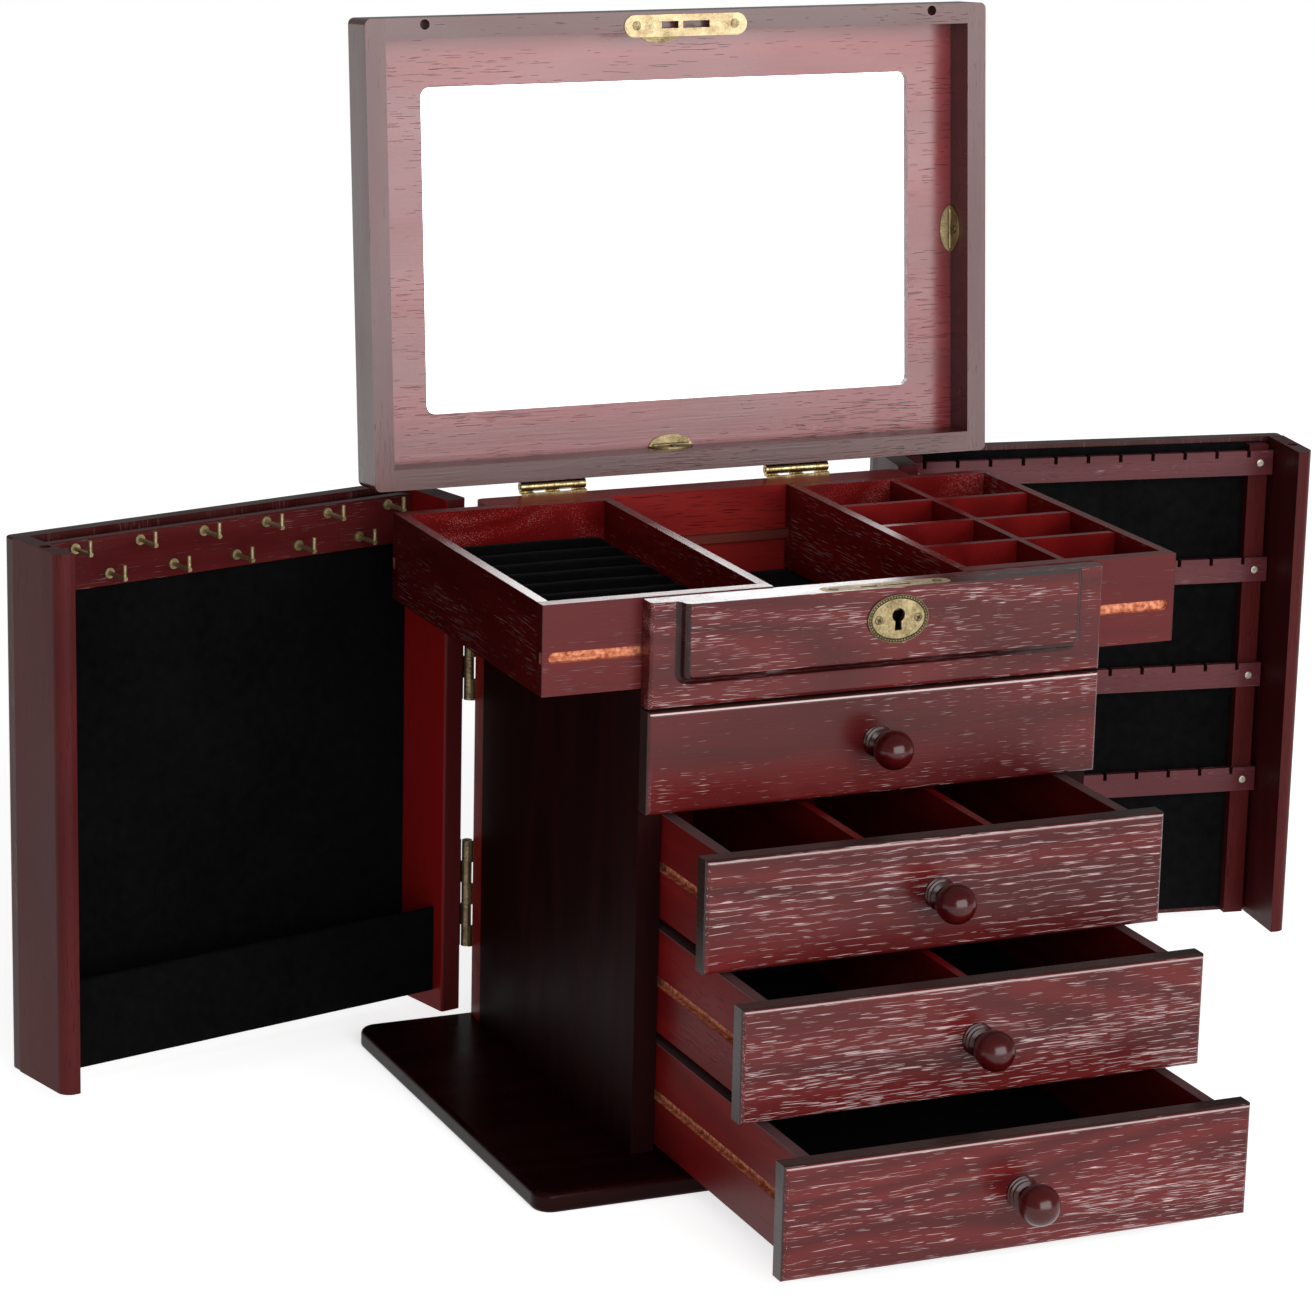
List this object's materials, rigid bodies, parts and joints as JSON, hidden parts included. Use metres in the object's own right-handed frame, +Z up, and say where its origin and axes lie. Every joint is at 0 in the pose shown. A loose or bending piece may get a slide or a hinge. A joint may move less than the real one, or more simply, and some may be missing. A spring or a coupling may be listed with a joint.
{
  "type": "jewellery chest",
  "caption": "Standing wooden jewellery chest with pull-out drawers, sideways sliding trays, a mirrored lid and two hinged side wings for necklaces.",
  "frame": {"origin": "centre of the base board's underside, where the chest stands", "axes": "+Z up; -Y towards the front, where the drawers open; +X to the right of someone facing the front"},
  "size_m": [0.6858, 0.4436, 0.4958],
  "materials": {
    "dark_case_wood": "satin dark lacquer",
    "front_wood": "satin lacquer, open grain",
    "knob_wood": "gloss lacquer",
    "red_wood": "satin stain",
    "raw_wood": "raw",
    "lid_wood": "satin lacquer, open grain",
    "wing_wood": "satin lacquer, open grain",
    "velvet": "short black pile",
    "old_brass": "antiqued",
    "pale_brass": "brushed",
    "steel": "plated",
    "mirror": "polished"
  },
  "bodies": {
    "carcass": {"base_board": "dark_case_wood", "carcass_side_left": "dark_case_wood", "carcass_side_right": "dark_case_wood", "back_board": "dark_case_wood", "deck_board": "velvet", "drawer_runners": "raw_wood", "tray_runners": "raw_wood", "front_panel": "front_wood", "escutcheon": "old_brass", "lock_case": "old_brass", "lock_screws": "steel", "lid_hinge_fixed_leaves": "old_brass", "wing_hinge_fixed_leaves": "old_brass"},
    "lid": {"lid_rim": "lid_wood", "lid_panel": "lid_wood", "mirror_frame": "lid_wood", "mirror": "mirror", "mirror_clips": "old_brass", "lid_screws": "steel", "strike_plate": "pale_brass", "lid_hinge_moving_leaves": "old_brass"},
    "left_wing": {"left_wing_panel": "wing_wood", "left_wing_stiles": "wing_wood", "left_wing_liner": "velvet", "hook_board": "wing_wood", "necklace_hooks": "old_brass", "left_wing_pocket": "velvet", "left_wing_hinge_leaves": "old_brass"},
    "right_wing": {"right_wing_panel": "wing_wood", "right_wing_stiles": "wing_wood", "right_wing_liner": "velvet", "right_wing_posts": "wing_wood", "necklace_rails": "wing_wood", "rail_screws": "steel", "right_wing_hinge_leaves": "old_brass"},
    "left_tray": {"left_tray_box": "red_wood", "left_tray_floor": "velvet", "ring_rolls": "velvet"},
    "right_tray": {"right_tray_box": "red_wood", "right_tray_floor": "velvet", "right_tray_dividers": "red_wood"},
    "bolt": {"lock_bolt": "old_brass"},
    "drawer_1": {"drawer_1_bottom": "velvet", "drawer_1_box": "red_wood", "drawer_1_front": "front_wood", "drawer_1_knob": "knob_wood"},
    "drawer_2": {"drawer_2_bottom": "velvet", "drawer_2_box": "red_wood", "drawer_2_dividers": "red_wood", "drawer_2_front": "front_wood", "drawer_2_knob": "knob_wood"},
    "drawer_3": {"drawer_3_bottom": "velvet", "drawer_3_box": "red_wood", "drawer_3_dividers": "red_wood", "drawer_3_front": "front_wood", "drawer_3_knob": "knob_wood"},
    "drawer_4": {"drawer_4_bottom": "velvet", "drawer_4_box": "red_wood", "drawer_4_front": "front_wood", "drawer_4_knob": "knob_wood"}
  },
  "joints": [
    {"name": "lid_hinge", "type": "hinge", "parent": "carcass", "child": "lid", "pos_m": [0, 0.1208, 0.2718], "axis": [-1, 0, 0], "range_deg": [-94.87, 0]},
    {"name": "left_wing_hinge", "type": "hinge", "parent": "carcass", "child": "left_wing", "pos_m": [-0.1126, 0.1209, 0.14], "axis": [0, 0, -1], "range_deg": [-75.8, 14.2]},
    {"name": "right_wing_hinge", "type": "hinge", "parent": "carcass", "child": "right_wing", "pos_m": [0.1126, 0.1209, 0.14], "axis": [0, 0, 1], "range_deg": [-81.6, 8.4]},
    {"name": "left_tray_slide", "type": "slide", "parent": "carcass", "child": "left_tray", "axis": [-1, 0, 0], "range_m": [-0.0479, 0.009]},
    {"name": "right_tray_slide", "type": "slide", "parent": "carcass", "child": "right_tray", "axis": [1, 0, 0], "range_m": [-0.0439, 0.0046]},
    {"name": "bolt_lift", "type": "slide", "parent": "carcass", "child": "bolt", "axis": [0, 0, 1], "range_m": [0, 0.004]},
    {"name": "drawer_1_slide", "type": "slide", "parent": "carcass", "child": "drawer_1", "axis": [0, -1, 0], "range_m": [0, 0.155]},
    {"name": "drawer_2_slide", "type": "slide", "parent": "carcass", "child": "drawer_2", "axis": [0, -1, 0], "range_m": [-0.0655, 0.0895]},
    {"name": "drawer_3_slide", "type": "slide", "parent": "carcass", "child": "drawer_3", "axis": [0, -1, 0], "range_m": [-0.1067, 0.0483]},
    {"name": "drawer_4_slide", "type": "slide", "parent": "carcass", "child": "drawer_4", "axis": [0, -1, 0], "range_m": [-0.1525, 0.0025]}
  ],
  "couplings": [
    {"joint": "left_tray_slide", "follows": "left_wing_hinge", "m_per_rad": 0.036131},
    {"joint": "right_tray_slide", "follows": "right_wing_hinge", "m_per_rad": 0.030754}
  ]
}
